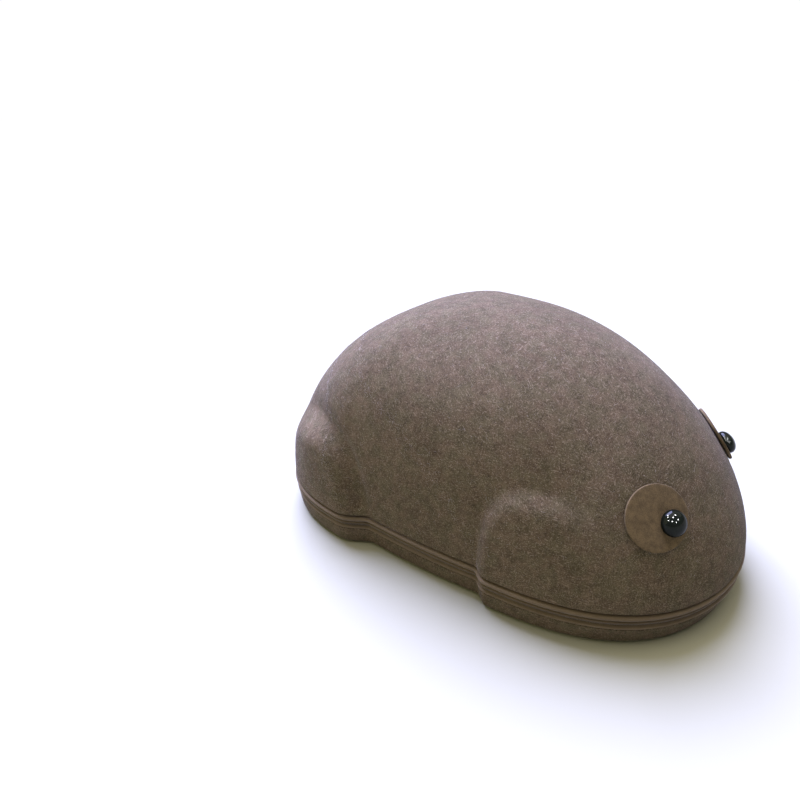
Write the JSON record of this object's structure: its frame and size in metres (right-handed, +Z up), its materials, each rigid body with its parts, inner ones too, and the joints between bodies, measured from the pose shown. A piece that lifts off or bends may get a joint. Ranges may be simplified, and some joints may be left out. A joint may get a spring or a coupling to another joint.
{
  "type": "felt pet cave with cushion",
  "caption": "Moulded felt pet cave like a small crouching animal: a domed shell with a round way in at the tail, zipped to a shallow tray that holds a loose cushion.",
  "frame": {"origin": "on the floor under the middle of the tray", "axes": "+X towards the nose, +Y to the animal's left, +Z up"},
  "size_m": [0.578, 0.3978, 0.278],
  "materials": {
    "felt": "heathered brown needle felt with fine light and dark fibres",
    "zip_tape": "brown woven tape",
    "zip_coil": "brown nylon coil",
    "plush": "slate grey short plush",
    "disc": "tan brown suede leather",
    "button": "polished black"
  },
  "bodies": {
    "root": {"felt_shell": "felt", "felt_tray": "felt", "zip_tape_upper": "zip_tape", "zip_tape_lower": "zip_tape", "zip_coil": "zip_coil", "cushion": "plush", "eye_disc_left": "disc", "eye_disc_right": "disc", "eye_button_left": "button", "eye_button_right": "button"}
  },
  "joints": []
}
